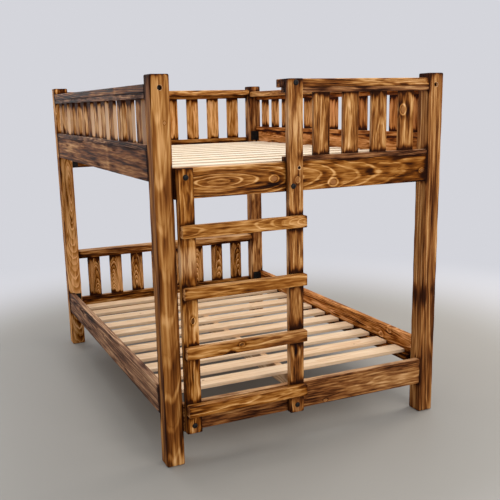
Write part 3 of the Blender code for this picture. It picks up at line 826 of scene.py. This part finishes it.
# The right upright, which comes last, has the sunk screw: its hole black with painted shade, paler wood
# round it
screw_cup = sunk_cup(-1, (SCREW_X, upright.low[Y], SCREW_Z), SCREW_CUP_RADIUS, SCREW_CUP_DEPTH,
                     SCREW_CUP_REACH, RECESS_SHADE_BLACK, FRESH_CUT)
upright.cups.append(screw_cup)

rungs = {
    1: dict(tone=(-0.04, 0.80, 0.0)),
    2: dict(tone=(0.05, 0.60, 0.0), knots=((-0.04, 0.010, 0.008),),
            spots=(((-0.04, 0.010, -0.019), 0.010, 1.1), ((-0.098, -0.022, -0.019), 0.012, 1.2),
                   ((0.22, 0.0, 0.0), 0.10, -0.14))),
    3: dict(tone=(0.01, 0.70, 0.0)),
    4: dict(tone=(0.06, 0.60, 0.0), pith=(0.004, -0.066, 0.0625), figure=(0.0075, 0.3125, 0.1)),
}
for index, character in rungs.items():
    node = f"ladder_rung_{index}"
    # TOP below zero is painted light on the rungs' tops; LEFT below zero makes their left ends paler
    rung = whole(node, X, BOARD_EASE, soot=0.25, faces={TOP: -0.10, LEFT: -0.26}, **character)
    torched_nodes[node] = ([rung], "ladder_wood")

for deck in ("lower", "upper"):
    node = f"{deck}_centre_support"
    # The centre supports' dark tone is painted shade below the slats
    bare_nodes[node] = whole(node, Y, BOARD_EASE, tone=(-0.30, 0.6, 0.6))
    for index in range(1, BED_SLATS + 1):
        node = f"{deck}_slat_{index:02d}"
        draw = dice.random(4)
        knot = ((draw[0] - 0.5) * 1.3, (draw[1] - 0.5) * 0.07, 0.004 + 0.004 * draw[2])
        knots = (knot,) if draw[3] < 0.7 else ()
        tone = (0.16, 0.6, 0.10 * draw[0]) if deck == "upper" else (0.02, 0.8, 0.70 + 0.3 * draw[0])
        bare_nodes[node] = whole(node, X, SLAT_EASE, tone=tone, knots=knots, step=BED_SLAT_STEP)

torched = [board for boards, _ in torched_nodes.values() for board in boards]
for node, (boards, slot) in torched_nodes.items():
    boards_piece(node, boards, TORCHED_PINE, torched)
for node, board in bare_nodes.items():
    boards_piece(node, [board], BARE_PINE, ())


# Hardware

HEAD_SIDES, SCREW_SIDES, NUT_SIDES = 24, 12, 18
SHARP_EDGE = math.radians(40)
HEAD_CLEARANCE = 0.001
LADDER_BOLTS = ((-0.648, 1.384), (-0.648, 0.208), (-0.094, 0.208), (-0.094, 1.786), (-0.110, 1.312))
NUTS_BELOW = 1.5
PLATE_LEG, PLATE_HEIGHT, PLATE_THICKNESS, PLATE_LIFT = 0.048, 0.068, 0.003, 0.003
BRACKET_LEG = 0.045
SCREW_SPACING = 0.036


def turned(profile, foot, axis, side, sides=HEAD_SIDES):
    """A closed turning: a profile of radius and height carried round an axis from a foot point.

    The first and last rows of the profile have no radius and become single points.
    """
    radii, heights = np.array(profile).T
    angle = np.arange(sides) * 2 * math.pi / sides
    first, second = ((axis + 1) % 3, (axis + 2) % 3) if side > 0 else ((axis + 2) % 3, (axis + 1) % 3)
    rings = np.zeros((len(radii) - 2, sides, 3))
    rings[..., first] = radii[1:-1, None] * np.cos(angle)
    rings[..., second] = radii[1:-1, None] * np.sin(angle)
    rings[..., axis] = heights[1:-1, None] * side
    poles = np.zeros((2, 3))
    poles[:, axis] = heights[[0, -1]] * side
    points = np.concatenate([rings.reshape(-1, 3), poles]) + foot
    number = np.arange(rings.shape[0] * sides).reshape(-1, sides)
    following = np.roll(number, -1, axis=1)
    quads = np.stack([number[:-1], following[:-1], following[1:], number[1:]], axis=-1).reshape(-1, 4)
    low, high = len(points) - 2, len(points) - 1
    bottom = np.stack([np.full(sides, low), following[0], number[0]], axis=-1)
    top = np.stack([number[-1], following[-1], np.full(sides, high)], axis=-1)
    return points, quads.tolist() + bottom.tolist() + top.tolist()


def hardware_piece(name, parts):
    """Several turnings or plates joined in one black steel piece."""
    points, faces = [], []
    for part_points, part_faces in parts:
        count = sum(len(group) for group in points)
        points.append(part_points)
        faces += renumbered(part_faces, np.arange(len(part_points)) + count)
    piece = new_piece(name, np.concatenate(points), faces, BLACK_STEEL)
    piece.data.set_sharp_from_angle(angle=SHARP_EDGE)


def domed_head(radius, rise, sunk):
    """Profile of a round bolt head: a skirt, a crown on part of an ellipse, and a socket in its middle."""
    bend = np.linspace(0.25, 1.30, 6)
    crown = [(radius * math.cos(angle), rise * math.sin(angle)) for angle in bend]
    socket = radius * 0.30
    return [(0.0, -sunk), (radius * 0.98, -sunk), (radius, 0.0), *crown, (socket, rise * 0.95),
            (socket * 0.9, rise * 0.45), (0.0, rise * 0.45)]


def head_in_cup(profile, cup):
    """A bolt or screw head just clear of the floor of a cup."""
    seat = cup.mouth - (0.0, cup.side * (cup.depth - HEAD_CLEARANCE), 0.0)
    return turned(profile, seat, cup.axis, cup.side)


BOLT_HEAD = domed_head(0.0135, 0.0070, 0.003)
CAP_BOLT_HEAD = domed_head(0.0095, 0.006, 0.0005)
LADDER_SCREW_HEAD = domed_head(0.0055, 0.004, 0.0005)
ANGLE_SCREW_HEAD = domed_head(0.0048, 0.0022, 0.0005)
NUT = [(0.0, -0.001), (0.014, -0.001), (0.014, 0.0016), (0.0085, 0.0018), (0.0085, 0.0075),
       (0.0052, 0.0085), (0.0052, 0.0120), (0.0, 0.0130)]

ladder_front = node_box("ladder_left_upright")[0][Y]
rail_back = node_box("lower_foot_rail")[1][Y]
hardware_piece("ladder_bolt_heads", [
    turned(BOLT_HEAD, (x, ladder_front, z), Y, -1) for x, z in LADDER_BOLTS])
hardware_piece("cap_bolt_heads", [head_in_cup(CAP_BOLT_HEAD, bore) for bore in counterbores])
hardware_piece("ladder_screw_head", [head_in_cup(LADDER_SCREW_HEAD, screw_cup)])
hardware_piece("ladder_bolt_nuts", [
    turned(NUT, (x, rail_back, z), Y, 1, NUT_SIDES) for x, z in LADDER_BOLTS if z < NUTS_BELOW])


def corner_plate(corner, way_x, way_y, low, high):
    """A bent plate in an inner corner: an L outline with a rounded bend, carried straight up."""
    bend = np.linspace(0.0, math.pi / 2, 5)
    inner = PLATE_THICKNESS * 2
    curve = inner - PLATE_THICKNESS * np.stack([np.sin(bend), np.cos(bend)], axis=1)
    back = inner - inner * np.stack([np.cos(bend), np.sin(bend)], axis=1)
    outline = np.concatenate([[(PLATE_LEG, 0.0), (PLATE_LEG, PLATE_THICKNESS)], curve,
                              [(PLATE_THICKNESS, PLATE_LEG), (0.0, PLATE_LEG)], back])
    outline = outline * (way_x, way_y) + corner
    count = len(outline)
    ring = np.arange(count)
    points = np.concatenate([np.column_stack([outline, np.full(count, level)]) for level in (low, high)])
    walls = np.stack([ring, np.roll(ring, -1), np.roll(ring, -1) + count, ring + count], axis=-1)
    faces = walls.tolist() + [ring[::-1].tolist(), (ring + count).tolist()]
    if way_x * way_y < 0:
        faces = [face[::-1] for face in faces]
    return points, faces


def plate_screws(corner, way_x, way_y, middle, leg):
    """Four round screw heads on a bent plate, two on each leg."""
    reach = (leg + PLATE_THICKNESS * 2) / 2
    heads = []
    for level in (middle - SCREW_SPACING / 2, middle + SCREW_SPACING / 2):
        on_x = (corner[0] + way_x * reach, corner[1] + way_y * PLATE_THICKNESS, level)
        on_y = (corner[0] + way_x * PLATE_THICKNESS, corner[1] + way_y * reach, level)
        heads.append(turned(ANGLE_SCREW_HEAD, on_x, Y, way_y, SCREW_SIDES))
        heads.append(turned(ANGLE_SCREW_HEAD, on_y, X, way_x, SCREW_SIDES))
    return heads


for deck in ("lower", "upper"):
    screws, plates = [], []
    for end, way_y in (("foot", 1), ("head", -1)):
        rail_low, rail_high = node_box(f"{deck}_{end}_rail")
        for side, way_x in (("left", 1), ("right", -1)):
            bracket = f"{deck}_{end}_{side}_bracket"
            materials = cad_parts[bracket].data.materials
            materials.clear()
            materials.append(BLACK_STEEL)
            low, high = node_box(bracket)
            corner = (low[X] if way_x > 0 else high[X], low[Y] if way_y > 0 else high[Y])
            screws += plate_screws(corner, way_x, way_y, (low[Z] + high[Z]) / 2, BRACKET_LEG)
            low, high = node_box(f"{end}_{side}_post")
            corner = (high[X] if way_x > 0 else low[X], rail_high[Y] if way_y > 0 else rail_low[Y])
            foot = rail_low[Z] + PLATE_LIFT
            plates.append(corner_plate(corner, way_x, way_y, foot, foot + PLATE_HEIGHT))
            screws += plate_screws(corner, way_x, way_y, foot + PLATE_HEIGHT / 2, PLATE_LEG)
    hardware_piece(f"{deck}_rail_angles", plates)
    hardware_piece(f"{deck}_angle_screws", screws)


# Floor, light and camera

FLOOR_HALF, FLOOR_LINES, FLOOR_DROP = 30.0, 5, 0.0005
PALE = (0.66, 0.665, 0.71, 1.0)
AMBIENT = (0.465, 0.463, 0.472, 1.0)
NEUTRAL = (1.0, 0.98, 0.95)
WARM = (1.0, 0.95, 0.88)
COOL = (0.96, 0.98, 1.0)


def studio_floor():
    """A flat square floor: grey, with a painted shadow beneath the bed, and paler with a smooth step far
    from it.

    Far off, what the camera sees of it glows like the background, so no edge shows.
    """
    sides = np.linspace(-FLOOR_HALF, FLOOR_HALF, FLOOR_LINES)
    across, along = np.meshgrid(sides, sides, indexing="ij")
    points = np.stack([across, along, np.full_like(across, -FLOOR_DROP)], axis=-1).reshape(-1, 3)
    number = np.arange(across.size).reshape(across.shape)
    quads = np.stack([number[:-1, :-1], number[1:, :-1], number[1:, 1:], number[:-1, 1:]], axis=-1)
    mesh = bpy.data.meshes.new("studio_floor")
    mesh.from_pydata(points, [], quads.reshape(-1, 4).tolist())
    material, recipe, surface = new_finish("studio_floor", {"Specular IOR Level": 0.25, "Roughness": 0.55})
    place = recipe.node("ShaderNodeTexCoord", {}, {})[3]
    far = recipe.node("ShaderNodeVectorMath", {"operation": "LENGTH"}, {0: place})[1]
    pale = recipe.smooth(far, 1.8, 4.2)
    beside, before, _ = recipe.node("ShaderNodeSeparateXYZ", {}, {0: place})
    # The darker grey beneath the bed is a painted shadow
    painted_bed_shadow = 1.0 - recipe.smooth(recipe.math("ABSOLUTE", beside), 0.50, 1.00)
    painted_bed_shadow = painted_bed_shadow * (1.0 - recipe.smooth(recipe.math("ABSOLUTE", before), 0.45, 1.05))
    grey = recipe.mix(painted_bed_shadow, (0.276, 0.266, 0.246, 1.0), (0.120, 0.110, 0.096, 1.0))
    colour = recipe.mix(pale, grey, PALE)
    recipe.feed(surface["Base Color"], colour)
    glow = recipe.node("ShaderNodeEmission", {}, {"Color": PALE})[0]
    nodes = material.node_tree.nodes
    lit = Value(recipe, nodes["Principled BSDF"].outputs[0])
    both = recipe.node("ShaderNodeMixShader", {}, {0: pale * recipe.direct_view(), 1: lit, 2: glow})[0]
    recipe.feed(nodes["Material Output"].inputs["Surface"], both)
    mesh.materials.append(material)
    in_scene("studio_floor", mesh)


def studio_world():
    """Soft light from all round, with a pale background for the camera and for glosses."""
    world = bpy.data.worlds.new("studio_world")
    bpy.context.scene.world = world
    world.use_nodes = True
    recipe = Recipe(world.node_tree)
    background = world.node_tree.nodes["Background"]
    colour = recipe.mix(recipe.direct_view(), AMBIENT, PALE)
    recipe.feed(background.inputs["Color"], colour)


def softbox(name, place, aim, size, power, colour):
    """A square area lamp at a place: tilted off straight down, then turned, to face a point."""
    lamp = bpy.data.lights.new(name, "AREA")
    lamp.shape, lamp.size, lamp.energy, lamp.color = "SQUARE", size, power, colour
    box = in_scene(name, lamp)
    way = np.array(aim) - np.array(place)
    box.location = place
    box.rotation_euler = (math.acos(-way[2] / np.linalg.norm(way)), 0.0, math.atan2(-way[0], way[1]))


studio_floor()
studio_world()
softbox("overhead_softbox", (0.3, -0.4, 4.6), (0.0, 0.0, 1.0), 3.6, 130.0, NEUTRAL)
softbox("front_softbox", (0.3, -5.4, 2.2), (0.0, -0.6, 0.7), 3.0, 135.0, NEUTRAL)
softbox("right_softbox", (5.2, 0.0, 2.8), (0.0, 0.0, 0.4), 2.6, 185.0, WARM)
softbox("left_softbox", (-5.4, 0.6, 2.4), (0.0, 0.0, 0.9), 2.6, 80.0, COOL)
softbox("back_softbox", (-2.0, 5.4, 3.2), (0.0, 0.6, 0.9), 2.6, 90.0, NEUTRAL)

# The camera is fitted to the edges of posts, rails, caps and rungs in the photo
camera_data = bpy.data.cameras.new("photo_camera")
camera_data.lens, camera_data.sensor_width = 53.2464, 36.0
camera_data.shift_x, camera_data.shift_y = 0.020847, 0.048445
camera = in_scene("photo_camera", camera_data)
camera.location = (-1.77083, -4.20090, 1.68732)
camera.rotation_euler = [math.radians(turn) for turn in (77.17087, 1.27450, -24.28656)]
bpy.context.scene.camera = camera
bpy.context.scene.view_settings.view_transform = "Standard"
